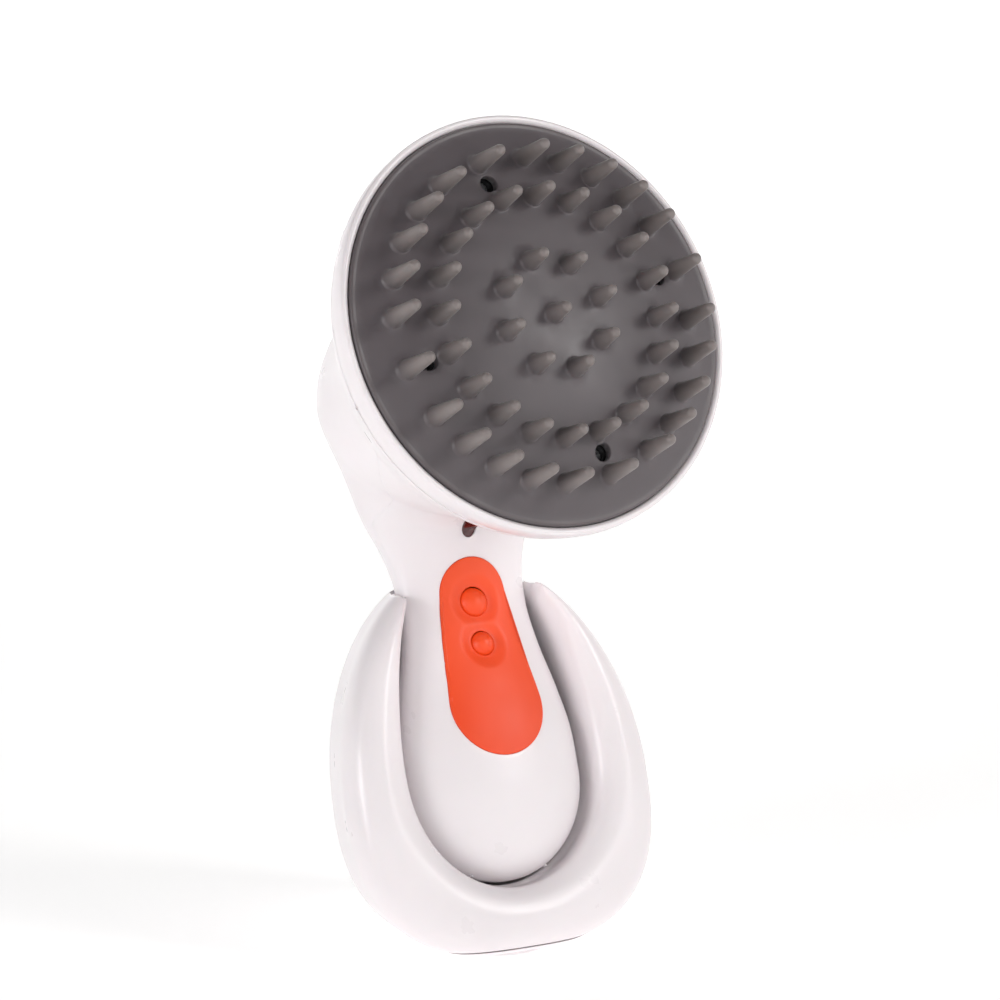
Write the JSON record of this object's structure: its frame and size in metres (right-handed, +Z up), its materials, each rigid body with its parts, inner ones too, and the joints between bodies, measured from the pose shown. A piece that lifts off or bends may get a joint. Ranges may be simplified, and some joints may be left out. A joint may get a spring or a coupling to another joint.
{
  "type": "scalp massager brush",
  "caption": "Handheld electric scalp massager with a round silicone tine pad, bulb-shaped handle and egg-shaped charging dock.",
  "frame": {"origin": "centre of the underside of the dock's rubber sole, on the table", "axes": "+Z up; -Y towards the user, the way the massage pad and the dock's ring face; +X to the user's right"},
  "size_m": [0.094, 0.0973, 0.1851],
  "materials": {
    "white_shell": "white satin plastic with a faint pink warmth",
    "grey_silicone": "matt warm-grey silicone",
    "orange_keypad": "satin orange soft-touch skin",
    "orange_key": "satin orange soft-touch key",
    "dark_lens": "dark red smoked plastic",
    "black_plastic": "black moulded plastic",
    "natural_plastic": "unpainted moulded plastic",
    "black_rubber": "matt black rubber",
    "steel": "bright zinc-plated steel",
    "motor_steel": "drawn steel can",
    "gold_contact": "gold-plated brass",
    "green_board": "green solder mask",
    "cell_wrap": "blue shrink sleeve",
    "led_epoxy": "red epoxy",
    "spring_steel": "bright spring steel"
  },
  "bodies": {
    "massager": {"front_housing": "white_shell", "rear_housing": "white_shell", "head_rim": "white_shell", "housing_screws": "steel", "charge_contacts": "gold_contact", "keypad_overlay": "orange_keypad", "control_board": "green_board", "tact_switches": "black_plastic", "board_screws": "steel", "indicator_led": "led_epoxy", "indicator_lens": "dark_lens", "battery_cells": "cell_wrap", "battery_tray": "black_plastic", "massage_pad": "grey_silicone", "pad_plate": "black_plastic", "pad_screws": "steel", "rim_seal": "black_rubber", "motor_chassis": "natural_plastic", "chassis_screws": "steel", "motor_can": "motor_steel"},
    "power_button": {"power_button": "orange_key"},
    "mode_button": {"mode_button": "orange_key"},
    "rotor": {"motor_shaft": "steel", "eccentric_weight": "steel"},
    "dock": {"dock_front_shell": "white_shell", "dock_rear_shell": "white_shell", "dock_base_plate": "white_shell", "dock_sole": "black_rubber", "dock_screws": "steel", "ballast_bar": "steel", "charging_board": "green_board", "charging_socket": "black_plastic", "pin_block": "black_plastic", "pin_spring_left": "spring_steel", "pin_spring_right": "spring_steel"},
    "pin_left": {"charge_pin_left": "gold_contact"},
    "pin_right": {"charge_pin_right": "gold_contact"}
  },
  "joints": [
    {"name": "lift_off", "type": "slide", "parent": "dock", "child": "massager", "axis": [0, -0.9511, 0.309], "range_m": [0, 0.06]},
    {"name": "power_press", "type": "slide", "parent": "massager", "child": "power_button", "axis": [0, 0.9026, -0.4305], "range_m": [0, 0.0007], "stiffness_N_per_m": 600},
    {"name": "mode_press", "type": "slide", "parent": "massager", "child": "mode_button", "axis": [0, 0.9026, -0.4305], "range_m": [0, 0.0007], "stiffness_N_per_m": 600},
    {"name": "rotor_spin", "type": "hinge", "parent": "massager", "child": "rotor", "pos_m": [0, -0.037, 0.1414], "axis": [0, -0.9391, 0.3437], "continuous": true},
    {"name": "pin_press_left", "type": "slide", "parent": "dock", "child": "pin_left", "axis": [0, 0.9511, -0.309], "range_m": [0, 0.0008], "stiffness_N_per_m": 300, "deforming": ["pin_spring_left"]},
    {"name": "pin_press_right", "type": "slide", "parent": "dock", "child": "pin_right", "axis": [0, 0.9511, -0.309], "range_m": [0, 0.0008], "stiffness_N_per_m": 300, "deforming": ["pin_spring_right"]}
  ]
}
